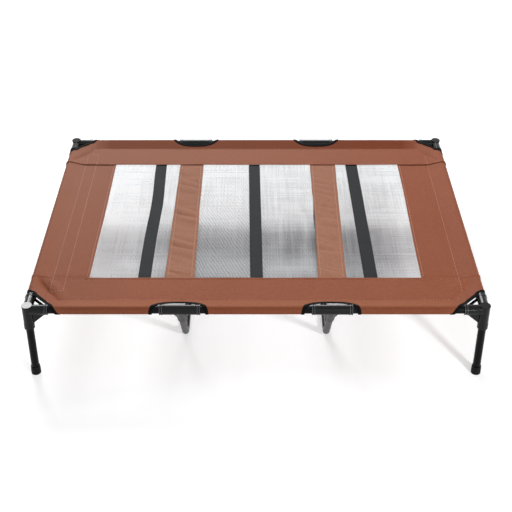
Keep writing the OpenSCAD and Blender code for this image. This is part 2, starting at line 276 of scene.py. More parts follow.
def sewn_piece(name, patches, material, weld=1e-5):
    """One object from patches (points, uv, around), with points in rows and columns. The patches' shared
    edges are merged, so that seams are closed."""
    points, uvs, faces, first = [], [], [], 0
    for grid, uv, around in patches:
        rows, columns = grid.shape[:2]
        faces.append(patch_faces(rows, columns, first, around))
        points.append(grid.reshape(-1, 3))
        uvs.append(uv.reshape(-1, 2))
        first += rows * columns
    points, uvs, faces = np.concatenate(points), np.concatenate(uvs), np.concatenate(faces)
    mesh = bpy.data.meshes.new(name)
    mesh.from_pydata(points.tolist(), [], faces.tolist())
    uv_layer = mesh.uv_layers.new(name="cut")
    uv_layer.data.foreach_set("uv", uvs[faces.ravel()].ravel().astype(np.float32))
    work = bmesh.new()
    work.from_mesh(mesh)
    bmesh.ops.remove_doubles(work, verts=work.verts, dist=weld)
    work.to_mesh(mesh)
    work.free()
    mesh.shade_smooth()
    mesh.materials.append(material)
    made = bpy.data.objects.new(name, mesh)
    scene.collection.objects.link(made)
    return made


def sag(x, y):
    """How far the stretched cover hangs below its edges: a shallow bowl over the netting, the product of two
    parabolas, with nothing at the borders."""
    across = np.clip(1 - (x / mesh_high.x) ** 2, 0, 1)
    along = np.clip(1 - (y / mesh_high.y) ** 2, 0, 1)
    return -bed_sag * across * along


def thread_layer(start, end, spacing, along_x, level, rng):
    """Threads side by side, as threads x steps x polygon: a small polygon carried along a straight line that
    follows the sag, drawn to a point at both ends. Each thread is a hair off its even place, and those along
    the bed stand apart at one drawn line."""
    low, high = spacing
    count = int((high - low) / thread_pitch)
    across = np.linspace(low, high, count)[:, None] + rng.normal(0, loom_slip, (count, 1))
    if along_x:
        near = (across - drawn_line) / drawn_reach
        across = across - drawn_shift * near * np.exp(-near ** 2)
    run = np.concatenate([[start], np.linspace(start, end, thread_steps), [end]])[None, :]
    x, y = np.broadcast_arrays(*((run, across) if along_x else (across, run)))
    turn = np.arange(thread_sides) / thread_sides * 2 * math.pi * (1 if along_x else -1)
    swell = np.ones((run.size, 1))
    swell[[0, -1]] = 0
    side = swell * thread_width / 2 * np.cos(turn)
    rise = swell * thread_height / 2 * np.sin(turn)
    z = rail_z + level + sag(x, y)
    offset_x, offset_y = (0 * side, side) if along_x else (side, 0 * side)
    return np.stack([x[..., None] + offset_x, y[..., None] + offset_y, z[..., None] + rise], -1)


def netting(rng):
    """All the threads of the netting as patches: one layer along the bed lying on one across it."""
    made = []
    span_x, span_y = (mesh_low.x, mesh_high.x), (mesh_low.y, mesh_high.y)
    for layer in (thread_layer(*span_x, span_y, True, level_along, rng),
                  thread_layer(*span_y, span_x, False, level_across, rng)):
        made += [(thread, thread[..., :2], True) for thread in layer]
    return made


def drawn_out(place, factors):
    """A place with its parts multiplied, so that a pattern on it is drawn out along the smallest factor."""
    return add_node("VectorMath", {0: place, 1: factors}, operation="MULTIPLY").outputs[0]


# The coating varies in clouds, from thread to thread both ways, and in a pale and a dark thread at the drawn
# line. Slanting light and dark bands, strongest left of the middle near the front, are painted light and
# shade: a painted moiré.
thread_pale, tree, shader = new_finish("thread_pale", Specular_IOR_Level=0.3, Roughness=0.42)
place, parts = object_place(tree), place_parts(tree)
tones = spread(cloudy(place, 9.0, 5.0), -0.2, 0.2)
for factors in ((4.0, 300.0, 0.0), (300.0, 4.0, 0.0)):
    streaks = cloudy(drawn_out(place, factors), 1.0, 1.0)
    tones = reckon("ADD", tones, spread(streaks, 0.0, 0.5))
# Painted moiré: slanting light and dark bands, strongest left of the middle near the front.
wave = {"Vector": drawn_out(place, (1.0, 0.4, 0.0)), "Scale": 70.0, "Distortion": 5.0, "Detail": 2.0,
        "Detail Scale": 0.6}
painted_moire = add_node("TexWave", wave, bands_direction="DIAGONAL").outputs["Fac"]
aside = reckon("ABSOLUTE", reckon("ADD", parts["X"], 0.09))
depth = reckon("MULTIPLY", spread(parts["Y"], 0.5, 0.12, -0.15, 0.2), spread(aside, 1.0, 0.2, 0.08, 0.14))
painted_moire = reckon("MULTIPLY", spread(painted_moire, -1.0, 1.0, 0.0, 1.0), depth)
tones = reckon("ADD", tones, painted_moire)
for line, strength in ((drawn_line, 0.6), (drawn_line - drawn_reach, -0.5)):
    drawn = reckon("COMPARE", parts["Y"], line, drawn_half)
    tones = reckon("ADD", tones, reckon("MULTIPLY", drawn, strength))
tones = spread(tones, 0.0, 1.0)
feed(shader, Base_Color=tinted(tones, paint(126, 132, 138), paint(224, 229, 234)))
bumped(shader, cloudy(place, 900.0, 2.0), 0.1, 0.2 * mm)
bed_mesh = sewn_piece("bed_mesh", netting(np.random.default_rng(4)), thread_pale, weld=1e-6)
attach(bed_mesh, "cot_frame")
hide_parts("mesh_panel")


# Borders: brown coated oxford cloth, one wide strip along each side. Its outer edge is turned round the rail
# and sewn back to itself as a sleeve, cut away round the joints; its inner edge is hemmed onto the netting.
cloth = 1.2 * mm
sleeve_radius = 11.4 * mm
seam_reach = 39 * mm
border_width = 142 * mm
hem_width = 11 * mm
under_drop = 1.3 * mm
outer_line, inner_line, box_reach = 46 * mm, 81 * mm, 78 * mm
opening_y = rail_y - border_width
hem_rise = {"front": 1.25 * mm, "back": 2.3 * mm, "left": 0.35 * mm, "right": 0.35 * mm}
under_hem = {"front": 45 * mm, "back": 45 * mm, "left": 85 * mm, "right": 85 * mm}
half_run = {"front": rail_x, "back": rail_x, "left": rail_y, "right": rail_y}
seam_angle = math.acos(sleeve_radius / seam_reach)
seam_slope = 1 / math.tan(seam_angle)
slope_length = seam_reach * math.sin(seam_angle)
arc_length = 2 * sleeve_radius * (math.pi - seam_angle)
sleeve_length = 2 * slope_length + arc_length


def on_side(side, along, inward, up):
    """Points given along a rail, inwards from its axis and up from it, placed on that side of the cot. The
    sides are quarter turns of one another, so faces keep their way round."""
    along, inward, up = np.broadcast_arrays(along, inward, up)
    x, y = {"front": (along, inward - rail_y), "back": (-along, rail_y - inward),
            "left": (inward - rail_x, -along), "right": (rail_x - inward, along)}[side]
    return np.stack([x, y, up + rail_z], -1)


def ripple(x, y, size, seed):
    """Uneven waves about `size` long, from -1 to 1: the mean of seven plane waves in seeded directions."""
    rng = np.random.default_rng(seed)
    total = 0
    for _ in range(7):
        heading, phase = rng.uniform(0, 2 * math.pi, 2)
        number = 2 * math.pi / (size * rng.uniform(0.7, 1.5))
        total = total + np.sin(number * (x * math.cos(heading) + y * math.sin(heading)) + phase)
    return total / 7


def hill(value, middle, width):
    """A bell: 1 at the middle, fading to nothing about two widths away."""
    return np.exp(-((value - middle) / width) ** 2)


def ramp(value, start, end):
    """A straight ramp from 0 at start to 1 at end, level beyond them."""
    return np.clip((value - start) / (end - start), 0, 1)


def higher_of(one, other):
    """The higher of two heights, with the crease where they cross a little rounded."""
    top = np.maximum(one, other)
    return (one + other + np.sqrt((one - other) ** 2 + np.minimum(0.3 * top, 1 * mm) ** 2)) / 2


def seam_rise(inward, rounding):
    """Height of a sleeve's slope over the flat cloth: it falls evenly to nothing at the seam, where the bend
    is a parabola that reaches `rounding` to both sides."""
    before = seam_reach - inward
    bend = seam_slope * (before + rounding) ** 2 / (4 * rounding)
    return np.where(np.abs(before) < rounding, bend, seam_slope * np.maximum(before, 0))


# At a corner the cover is pulled tight across the angle of the rails. The line across leans a little, and
# the folds are deepest at the front left.
facet_run, fold_foot = 43 * mm, 85.4 * mm
lean_long, lean_side = 0.593, 0.805
fold_depths = {(-1, -1): 7.0 * mm, (1, -1): 2.2 * mm, (-1, 1): 3.0 * mm, (1, 1): 3.0 * mm}


def corner_facet(from_long, from_side):
    """Height of the slanting facet at a corner, where the cut edge is pulled tight between the tops of two
    rails: level with them at the edge, falling evenly to the flat cloth along a line across the corner."""
    reach = lean_long * from_long + lean_side * from_side
    return np.clip(sleeve_radius * (fold_foot - reach) / facet_run, 0, sleeve_radius)


def corner_folds(x, y):
    """Pull folds at the corners: a hollow along the foot of each facet, from the side rail to the long
    seam, and a low swell beyond it, both bells across the fold."""
    total = 0
    for (side_x, side_y), depth in fold_depths.items():
        from_side, from_long = rail_x - side_x * x, rail_y - side_y * y
        across = lean_long * from_long + lean_side * from_side - fold_foot
        along = lean_long * from_side - lean_side * from_long
        window = hill(along, -62 * mm, 72 * mm) * ramp(from_side, 4 * mm, 18 * mm)
        window = window * ramp(from_long, 20 * mm, 40 * mm)
        hollow, swell = hill(across, -6 * mm, 7 * mm), hill(across, 18 * mm, 11 * mm)
        total = total + depth * window * (0.4 * swell - hollow)
    return total


def cloth_waves(x, y):
    """Small relief of the flat cloth: slow waves, puckers along the seams, and the doubled band between
    two sewn lines along the side borders."""
    from_side, from_long = rail_x - np.abs(x), rail_y - np.abs(y)
    slow = 0.6 * mm * ripple(x, y, 0.16, 3) + 0.22 * mm * ripple(x, y, 0.045, 5)
    shift = 5 * ripple(x, y, 0.09, 8)
    uneven = 0.5 + 0.5 * ripple(x, y, 0.2, 17)
    by_long = np.sin(2 * math.pi * x / (17 * mm) + shift) * hill(from_long, 47 * mm, 9 * mm) * uneven
    by_side = np.sin(2 * math.pi * y / (15 * mm) + shift) * hill(from_side, 64 * mm, 24 * mm)
    doubled = np.minimum(ramp(from_side, outer_line - 3 * mm, outer_line),
                         ramp(from_side, inner_line + 3 * mm, inner_line)) * (from_long > box_reach)
    return slow + 0.55 * mm * by_long + 0.22 * mm * by_side + 0.4 * mm * doubled


def hem_height(side, x, y):
    """The extra ply over a border's inner hem."""
    inward = rail_y - np.abs(y) if side in ("front", "back") else rail_x - np.abs(x)
    hem_start = border_width - hem_width
    return hem_rise[side] * ramp(inward, hem_start, hem_start + 2.5 * mm)


def cover_top(side, x, y):
    """Height of a border's top over the rails' plane: slopes of the sleeves and facets of the corners, folds
    and waves, a pucker at the front right, the hem, and a dip where a side border runs under a long one."""
    from_side, from_long = rail_x - np.abs(x), rail_y - np.abs(y)
    height = higher_of(seam_rise(from_long, 3 * mm), seam_rise(from_side, 16 * mm))
    height = higher_of(height, corner_facet(from_long, from_side))
    flat = ramp(np.minimum(from_long, from_side), seam_reach, seam_reach + 9 * mm)
    height = height - 2 * mm * hill(x, 478 * mm, 20 * mm) * hill(y, -403 * mm, 4 * mm)
    height = height + corner_folds(x, y) + flat * cloth_waves(x, y) + hem_height(side, x, y)
    if side in ("left", "right"):
        height = height - 1.5 * mm * flat * ramp(np.abs(y), opening_y - 6 * mm, opening_y) ** 2
    return height


def sleeve_point(side, along, length, owner):
    """Points of a sleeve at places along its rail, by the length of cloth from its upper seam: a straight
    slope up to the rail, an arc round it, and a straight slope back to the seam from below. The arc has
    uneven slack, with a crease on the long sides. `owner` is the border that the cloth belongs to."""
    along, length = np.broadcast_arrays(along, length)
    angle = seam_angle + np.clip(length - slope_length, 0, arc_length) / sleeve_radius
    before = np.maximum(slope_length - length, 0)
    after = np.maximum(length - slope_length - arc_length, 0)
    straight = (before + after) * math.sin(seam_angle)
    plain = on_side(side, along, sleeve_radius * np.cos(angle) + straight, 0.0)
    x, y = plain[..., 0], plain[..., 1]
    hem = hem_height(owner, x, y)
    slack = 0.35 * mm + 0.25 * mm * ripple(x + 0.2 * angle, y, 0.07, 12)
    if side in ("front", "back"):
        slack = slack - 0.7 * mm * hill(angle, math.radians(128), math.radians(6))
    radius = sleeve_radius + hem + slack * ramp(length, slope_length, slope_length + 5 * mm) * (after == 0)
    inward = radius * np.cos(angle) + straight
    up = radius * np.sin(angle) + (after - before) * math.cos(seam_angle)
    lowered = under_drop - np.minimum(corner_folds(x, y), 0)
    up = up - lowered * ramp(length, sleeve_length - 14 * mm, sleeve_length)
    facet = corner_facet(rail_y - np.abs(y), rail_x - np.abs(x)) + hem
    up = np.where(angle < math.pi / 2, np.maximum(up, facet), up)
    up = np.where(before > 0, cover_top(owner, x, y), up)
    return on_side(side, along, inward, up)


# The flat pattern of the cut-outs. At a corner the edge is a chamfer that falls back round the rail. At a
# tee joint it is a rounded arch, open at the lower seam; on the front the arches sit a little left.
def softened(at, knots, values, reach):
    """A broken line through these knots with its bends rounded: the mean of nine samples within `reach`."""
    return np.mean([np.interp(at + shift, knots, values) for shift in np.linspace(-reach, reach, 9)], 0)


cut_lengths = np.linspace(0, sleeve_length, 240)
cut_places = softened(cut_lengths, np.array([-20, 28.8, 33.5, 41, 69, 130]) * mm,
                      np.array([-1.1, 45.5, 55, 57, 75.5, 92]) * mm, 3 * mm)
slipped_places = cut_places + 6 * mm * ramp(cut_lengths, 30 * mm, 60 * mm)
mitre_place = 28.5 * mm
arch_top, arch_low, arch_power = 20.4 * mm, 75 * mm, 2.7
arch_half, arch_foot = 70 * mm, 75 * mm
notch_shift = {"front": -3 * mm, "back": 0.0}


def sleeve_cut(side, along):
    """Length of cloth from the upper seam to the cut edge, along a rail: the chamfer near the corners, a
    little further back at the front right, and on the long sides a squared arch at each tee joint."""
    from_end = half_run[side] - np.abs(along)
    cut = np.interp(from_end, cut_places, cut_lengths)
    if side == "front":
        cut = np.where(along > 0, np.interp(from_end, slipped_places, cut_lengths), cut)
    if side in ("front", "back"):
        beside = np.abs(np.abs(along - notch_shift[side]) - tee_place)
        arch = (1 - np.clip(beside / arch_half, 0, 1) ** arch_power) ** (1 / arch_power)
        foot = np.interp(beside, [arch_half, arch_foot], [arch_low, sleeve_length])
        cut = np.minimum(cut, foot - (arch_low - arch_top) * arch)
    return cut


def notch_places(arch_count, foot_count):
    """Places across a tee's cut-out, from its middle: by a sine over the arch, and evenly down its feet."""
    arch = arch_half * np.sin(np.linspace(-0.5, 0.5, arch_count) * math.pi)
    foot = np.linspace(arch_half, arch_foot, foot_count)[1:]
    return np.concatenate([-foot[::-1], arch, foot])


def sleeve_patches(side, along, owner):
    """A sleeve along part of a rail: one patch from the upper seam or the corner's mitre to the cut or the
    lower seam, and where it isn't cut, further patches for the hem that runs on under the flat cloth."""
    mitre = ramp(half_run[side] - np.abs(along), seam_reach, 0) * seam_reach / math.sin(seam_angle)
    cut = np.maximum(sleeve_cut(side, along), mitre)
    length = mitre + np.linspace(0, 1, 58)[:, None] * (cut - mitre)
    run = np.broadcast_to(along, length.shape)
    patches = [(sleeve_point(side, along, length, owner), np.stack([run, -length], -1), False)]
    whole = np.flatnonzero(cut > sleeve_length - 1e-9)
    for columns in np.split(whole, np.flatnonzero(np.diff(whole) > 1) + 1):
        if len(columns) > 1:
            inward = np.linspace(seam_reach, under_hem[side], 6)[:, None]
            plain = on_side(side, along[columns], inward, 0.0)
            hollow = np.minimum(corner_folds(plain[..., 0], plain[..., 1]), 0)
            hem = on_side(side, along[columns], inward, hollow - under_drop)
            uv = np.stack(np.broadcast_arrays(along[columns], seam_reach - sleeve_length - inward), -1)
            patches.append((hem, uv, False))
    return patches


def hem_pull(side, along):
    """How far a border's inner edge is pulled in from its even place: on the left more towards the back, on
    the right towards the front, and along the front a little outwards."""
    left = 1 * mm + 4 * mm * ramp(along, 0.3, -0.05)
    right = 4.5 * mm * ramp(along, 0.15, -0.2)
    return {"front": -5 * mm + 0 * along, "back": 0 * along, "left": left, "right": right}[side]


def flat_panel(side, along, inward):
    """A border's flat cloth from the sleeve seam to its inner edge, as one patch on the cover's top."""
    pulled = inward[:, None] + hem_pull(side, along) * ramp(inward, seam_reach, border_width)[:, None]
    plain = on_side(side, along, pulled, 0.0)
    height = cover_top(side, plain[..., 0], plain[..., 1])
    uv = np.stack(np.broadcast_arrays(along, inward[:, None]), -1)
    return [(on_side(side, along, pulled, height)[::-1], uv[::-1], False)]


yarn_pitch = 0.75 * mm
shade_end = 0.46


def piece_uv(tree):
    """The place on the flat cut of a piece, in metres."""
    return tree.nodes.new("ShaderNodeTexCoord").outputs["UV"]


def oxford_cloth(name, dark, light):
    """Coated oxford cloth: a plain weave from the product of two sines along the cut, flecked yarns, a
    painted sheen that pales it towards the left and the back, a soft sheen, and painted light and shade on
    the long
    sleeves: lighter on the front sleeve's upper slope, darker on its outer face and on the back sleeve."""
    material, tree, shader = new_finish(name, Specular_IOR_Level=0.065, Sheen_Weight=0.03,
                                        Sheen_Roughness=0.4, Sheen_Tint=(1.0, 0.9, 0.84, 1.0))
    place, spot = object_place(tree), place_parts(tree)
    cut = add_node("SeparateXYZ", {"Vector": piece_uv(tree)}).outputs
    turned = [reckon("MULTIPLY", cut[axis], math.pi / yarn_pitch) for axis in "XY"]
    crossing = reckon("MULTIPLY", *[reckon("SINE", turn) for turn in turned])
    fleck = cloudy(place, 520.0, 2.0)
    tone = spread(cloudy(place, 5.0, 4.0), 0.35, 0.65)
    for change in (spread(crossing, -0.12, 0.12, -1.0, 1.0), spread(fleck, -0.22, 0.22),
                   spread(cloudy(place, 150.0, 2.0), -0.25, 0.25)):
        tone = reckon("ADD", tone, change, clamp=True)
    # Painted sheen: towards the left and the back the colour is mixed towards a pale greyish brown.
    leftward = spread(spot["X"], 0.45, -0.15, -0.55, 0.55)
    backward = spread(spot["Y"], -0.3, 0.3, -0.4, 0.4)
    painted_sheen = reckon("ADD", leftward, backward, clamp=True)
    tone_and_sheen = tinted(painted_sheen, tinted(tone, dark, light), paint(147, 102, 84))
    # Painted light and shade along y: darker on the front sleeve's outer face and on the back sleeve,
    # lighter on the front sleeve's upper slope. It weakens towards the side rails.
    to_back = spread(spot["Y"], 0.0, 1.0, -shade_end, shade_end)
    painted_light_shade = add_node("ValToRGB", {"Fac": to_back})
    stops = painted_light_shade.color_ramp.elements
    stops[0].color, stops[1].color = (0.78, 0.76, 0.74, 1.0), (0.64, 0.46, 0.33, 1.0)
    for at, value in ((-0.449, (0.84, 0.82, 0.8)), (-0.441, (1.13, 1.22, 1.14)), (-0.41, (1.1, 1.16, 1.1)),
                      (-0.4, (1.0, 1.0, 1.0)), (0.401, (0.97, 0.97, 0.97)), (0.408, (0.67, 0.48, 0.35))):
        stops.new((at + shade_end) / (2 * shade_end)).color = (*value, 1.0)
    painted_shade_span = spread(reckon("ABSOLUTE", spot["X"]), 1.0, 0.25, 0.48, 0.53)
    feed(shader, Base_Color=tinted(painted_shade_span, tone_and_sheen, painted_light_shade.outputs["Color"], "MULTIPLY"),
         Roughness=spread(fleck, 0.52, 0.6))
    bumped(shader, reckon("ABSOLUTE", crossing), 0.35, 0.12 * mm)
    return material


def give_thickness(piece, thickness):
    """Turns a sheet of no thickness into cloth, half of it to each side."""
    solidify = piece.modifiers.new("ply", "SOLIDIFY")
    solidify.thickness = thickness
    solidify.offset = 0.0
    solidify.use_even_offset = False


# The long borders run on round the corners and take in the ends of the side sleeves, as far as the side
# borders, whose ends are tucked in under them.
cloth_brown = oxford_cloth("cloth_brown", paint(144, 81, 56), paint(163, 97, 71))
flat_end = rail_x - seam_reach
tuck = 11 * mm
mitre_steps = np.linspace(mitre_place, seam_reach, 6)[:-1]
border_rows = np.concatenate([np.linspace(seam_reach, border_width - hem_width - 2 * mm, 30),
                              np.linspace(border_width - hem_width, border_width, 8)])
corner_rows = np.concatenate([mitre_steps, border_rows])
tee_steps = notch_places(41, 5)
end_steps = rail_x - np.concatenate([mitre_steps, np.linspace(seam_reach, 100 * mm, 30)])
even_columns = np.concatenate([np.linspace(-flat_end, flat_end, 120), end_steps, -end_steps])
tee_columns = np.concatenate([tee_place + tee_steps, -tee_place - tee_steps])
side_columns = np.linspace(-opening_y - tuck, opening_y + tuck, 110)
border_patches = {}
for side, one_end, other_end in (("front", "left", "right"), ("back", "right", "left")):
    long_columns = np.concatenate([even_columns, tee_columns + notch_shift[side]])
    long_columns = np.unique(np.round(long_columns, 7))
    flat_columns = long_columns[np.abs(long_columns) <= flat_end + 1e-6]
    border_patches[side] = (flat_panel(side, flat_columns, border_rows)
                            + sleeve_patches(side, long_columns, side)
                            + sleeve_patches(one_end, (rail_y - corner_rows)[::-1], side)
                            + sleeve_patches(other_end, corner_rows - rail_y, side))
for side in ("left", "right"):
    border_patches[side] = flat_panel(side, side_columns, border_rows)
    border_patches[side] += sleeve_patches(side, side_columns, side)
for side, patches in border_patches.items():
    border = sewn_piece(f"border_cloth_{side}", patches, cloth_brown, weld=2e-5)
    give_thickness(border, cloth)
    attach(border, "cot_frame")
    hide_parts(f"border_{side}")


# Edge tape: black grosgrain, folded over the raw edges where the sleeves are cut for the joints and sewn
# through. Each is one length that runs from the lower seam over the rail and back to the lower seam.
tape_reach, tape_over, tape_thick = 9.0 * mm, 0.6 * mm, 3.3 * mm
tape_sides = 18


def bulged(wave, power):
    """A sine or cosine drawn out towards a square wave, by a power below 1 that keeps its sign."""
    return np.sign(wave) * np.abs(wave) ** power


def unit(vectors):
    """Rows of vectors, each brought to length 1."""
    return vectors / np.linalg.norm(vectors, axis=1, keepdims=True)


def carried_tape(path, normal, inside):
    """A band carried along an open path and closed at its ends: a squared oval whose long way lies on the
    cloth. `normal` is the cloth's outer side there, and `inside` points to where its wide part lies."""
    tangent = unit(np.gradient(path, axis=0))
    normal = unit(normal - tangent * np.sum(normal * tangent, 1, keepdims=True))
    width = np.cross(normal, tangent)
    hand = np.sign(np.sum(width * inside))
    width *= hand
    turn = np.linspace(0, 2 * math.pi, tape_sides, endpoint=False)
    flat = bulged(np.cos(turn), 0.55) * (tape_reach + tape_over) / 2
    thick = hand * tape_thick / 2 * bulged(np.sin(turn), 0.7)
    middle = path + width * (tape_reach - tape_over) / 2
    grid = middle[:, None] + width[:, None] * flat[:, None] + normal[:, None] * thick[:, None]
    caps = np.broadcast_to(middle[:, None], grid.shape)
    grid = np.concatenate([caps[:1], grid, caps[-1:]])
    length = np.concatenate([[0, 0], np.cumsum(np.linalg.norm(np.diff(path, axis=0), axis=1))])
    length = np.append(length, length[-1])
    uv = np.stack(np.broadcast_arrays(length[:, None], turn * tape_reach / math.pi), -1)
    return grid, uv, True


def cut_edge(side, along, length, owner):
    """A cut edge of a sleeve with the cloth's outer normal, from small steps along it and round it."""
    step = 0.3 * mm
    lower, upper = [sleeve_point(side, along, length + shift, owner) for shift in (step, -step)]
    after, before = [sleeve_point(side, along + shift, length, owner) for shift in (step, -step)]
    return sleeve_point(side, along, length, owner), unit(np.cross(lower - upper, after - before))


tape_black, tree, shader = new_finish("tape_black", Specular_IOR_Level=0.05, Roughness=0.65)
wave = {"Vector": piece_uv(tree), "Scale": 330.0, "Distortion": 0.4}
ribs = add_node("TexWave", wave, bands_direction="X").outputs["Fac"]
feed(shader, Base_Color=tinted(ribs, paint(6, 6, 7), paint(18, 18, 20)))
bumped(shader, ribs, 0.4, 0.2 * mm)
edge_lengths = np.linspace(sleeve_length - 2 * mm, 11 * mm, 60)
tee_edge = notch_places(81, 22)[1:-1]
for corner in corners:
    long_side, short_side = corner.split("_")
    sign_x, sign_y = (1 if short_side == "right" else -1), (1 if long_side == "back" else -1)
    turn_long, turn_short = -sign_x * sign_y, sign_x * sign_y
    edge_places = np.interp(edge_lengths, cut_lengths, cut_places)
    slipped = np.interp(edge_lengths, cut_lengths, slipped_places)
    long_places = slipped if corner == "front_right" else edge_places
    long_along, short_along = turn_long * (rail_x - long_places), turn_short * (rail_y - edge_places)
    long_path, long_normal = cut_edge(long_side, long_along, edge_lengths, long_side)
    short_path, short_normal = cut_edge(short_side, short_along, edge_lengths, long_side)
    corner_path = np.concatenate([long_path, short_path[::-1]])
    corner_normal = np.concatenate([long_normal, short_normal[::-1]])
    corner_away = corner_path - np.array([sign_x * rail_x, sign_y * rail_y, rail_z])
    tee_along = turn_long * tee_place + tee_edge + notch_shift[long_side]
    tee_path, tee_normal = cut_edge(long_side, tee_along, sleeve_cut(long_side, tee_along), long_side)
    tee_away = tee_path - np.array([sign_x * tee_place, sign_y * (rail_y + 12 * mm), rail_z])
    for kind, path, normal, away in (("corner", corner_path, corner_normal, corner_away),
                                     ("tee", tee_path, tee_normal, tee_away)):
        tape = sewn_piece(f"{kind}_tape_{corner}", [carried_tape(path, normal, away)], tape_black)
        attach(tape, "cot_frame")
        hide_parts(f"{kind}_binding_{corner}")


# Cover strips: two panels of the brown cloth in a paler copy, a painted sheen, laid on the netting over the
# floor supports.
# Their long edges are turned under and sewn down, and their ends run under the long borders.
strip_ply = 0.9 * mm
under_front, under_back, hidden_end = 9 * mm, 3 * mm, 20 * mm
strip_spans = {}


def tucked(y):
    """How far the ends of strips and straps are pressed down where they run in under the long borders."""
    return -0.7 * mm * ramp(np.abs(y), opening_y - 10 * mm, opening_y - 2 * mm)


def strip_height(x, y, middle, half):
    """A strip's height: thicker turned edges, puffs between slanting creases that gather at the front end,
    and the bed's sag. A puff is the size of a slow wave, whatever its sign; the right strip's are lower."""
    beside = np.abs(x - middle)
    edge = 0.3 * mm * ramp(beside, half - 9 * mm, half - 7 * mm)
    slant = y + 0.3 * (x - middle)
    fullness = 8 * mm if middle < 0 else 5.6 * mm
    puffs = fullness * np.sqrt(ripple(0.3 * x, slant, 0.062, 21) ** 2 + 0.04 ** 2)
    creases = puffs + 0.8 * mm * ripple(0.3 * x, slant, 0.03, 23)
    gather = 0.5 * mm * np.sin(2 * math.pi * slant / (19 * mm)) * hill(y, -0.285, 0.035)
    inner = 0.25 + 0.75 * ramp(beside, half - 3 * mm, half - 14 * mm)
    inner = inner * ramp(np.abs(y), opening_y - 1 * mm, opening_y - 26 * mm)
    return 0.6 * mm + edge + (creases + gather) * inner + tucked(y) + sag(x, y)


# Each strip's inner edge is drawn in near its middle, and its edges lean to the right towards the back.
# Their cloth is painted paler than the borders', a painted sheen.
strip_brown_painted_sheen = oxford_cloth("strip_brown_painted_sheen", paint(158, 107, 83), paint(178, 125, 100))
for side, hand in (("left", -1), ("right", 1)):
    low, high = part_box(f"cover_strip_{side}")
    middle, half = (low.x + high.x) / 2, (high.x - low.x) / 2
    strip_spans[side] = middle, half
    share = np.linspace(-1, 1, 42)[None, :]
    y = np.linspace(-opening_y - under_front, opening_y + under_back, 300)[:, None]
    pull = 3.2 * mm * hill(y, -0.02, 0.14) if side == "right" else 1.2 * mm * hill(y, 0.05, 0.12)
    waver = 0.9 * mm * ripple(y, 0 * y, 0.11, 30) * share + hand * pull * ramp(-hand * share, 0.2, 1)
    back = ramp(y, -opening_y, opening_y)
    by_left, by_right = ramp(share, 0.2, -1), ramp(share, -0.2, 1)
    lean = 5 * mm * back * by_left
    if side == "right":
        lean = lean + (9 * back - 3) * mm * by_right + 1.5 * mm * (1 - back) * by_left
    x, y = np.broadcast_arrays(middle + half * share + waver + lean, y)
    grid = np.stack([x, y, rail_z + strip_height(middle + half * share, y, middle, half)], -1)
    strip = sewn_piece(f"strip_cloth_{side}", [(grid, grid[..., :2], False)], strip_brown_painted_sheen)
    give_thickness(strip, strip_ply)
    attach(strip, "cot_frame")
    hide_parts(f"cover_strip_{side}")


# Webbing: three charcoal nylon straps sewn flat across the netting, to carry the load to the long borders.
# The weave runs in fine ribs along the strap, with a firm rolled edge.
webbing_ply, webbing_level = 1.0 * mm, 0.05 * mm
rib_pitch = 2.6 * mm
webbing_weave, tree, shader = new_finish("webbing_weave", Specular_IOR_Level=0.08)
wave = {"Vector": piece_uv(tree), "Scale": 210.0, "Distortion": 0.6}
picks = add_node("TexWave", wave, bands_direction="Y").outputs["Fac"]
worn = cloudy(object_place(tree), 30.0, 5.0)
tone = reckon("ADD", picks, spread(worn, -0.3, 0.4), clamp=True)
feed(shader, Base_Color=tinted(tone, paint(26, 29, 31), paint(47, 50, 52)),
     Roughness=spread(worn, 0.5, 0.64))
bumped(shader, picks, 0.5, 0.3 * mm)
# A strap's share of its full width, and how far to the right its front end, back end and middle are pulled.
strap_runs = {"left": (0.94, 5 * mm, 5 * mm, 5 * mm), "middle": (0.94, 1.5 * mm, -5.5 * mm, 0.0),
              "right": (1.0, 3.8 * mm, -3.4 * mm, 0.0)}
for third, (narrow, front, back, bow) in strap_runs.items():
    low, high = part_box(f"webbing_{third}")
    middle, half = (low.x + high.x) / 2, (high.x - low.x) / 2
    run = np.linspace(-opening_y - under_front, opening_y + under_back, 120)
    x, y = np.meshgrid(np.linspace(low.x, high.x, 61), run)
    aside = x - middle
    rib = 0.12 * mm * np.abs(np.sin(aside * math.pi / rib_pitch))
    rolled = 0.15 * mm * hill(np.abs(aside), half - 1 * mm, 1.2 * mm)
    uneven = 0.2 * mm * ripple(x, y, 0.09, 41)
    lean = front + (back - front) * ramp(y, -opening_y, opening_y) + bow * hill(y, 0.08, 0.14)
    level = rail_z + webbing_level + rib + rolled + uneven + tucked(y) + sag(x, y)
    grid = np.stack([middle + narrow * aside + lean, y, level], -1)
    strap = sewn_piece(f"webbing_strap_{third}", [(grid, np.stack([x, y], -1), False)], webbing_weave)
    give_thickness(strap, webbing_ply)
    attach(strap, "cot_frame")
    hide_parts(f"webbing_{third}")


# Sewing thread: rows of lockstitch in tan or brown polyester, along the sleeve seams, hems and strip edges.
# Each stitch is a short raised lens of thread that dips into the cloth at both ends.
stitch_length, stitch_pitch, stitch_width, stitch_rise = 5.0 * mm, 8.0 * mm, 1.5 * mm, 0.6 * mm
stitch_sides = 5
seam_half, hem_half = 0.536, 0.552
hem_line, strip_line = 6 * mm, 8 * mm


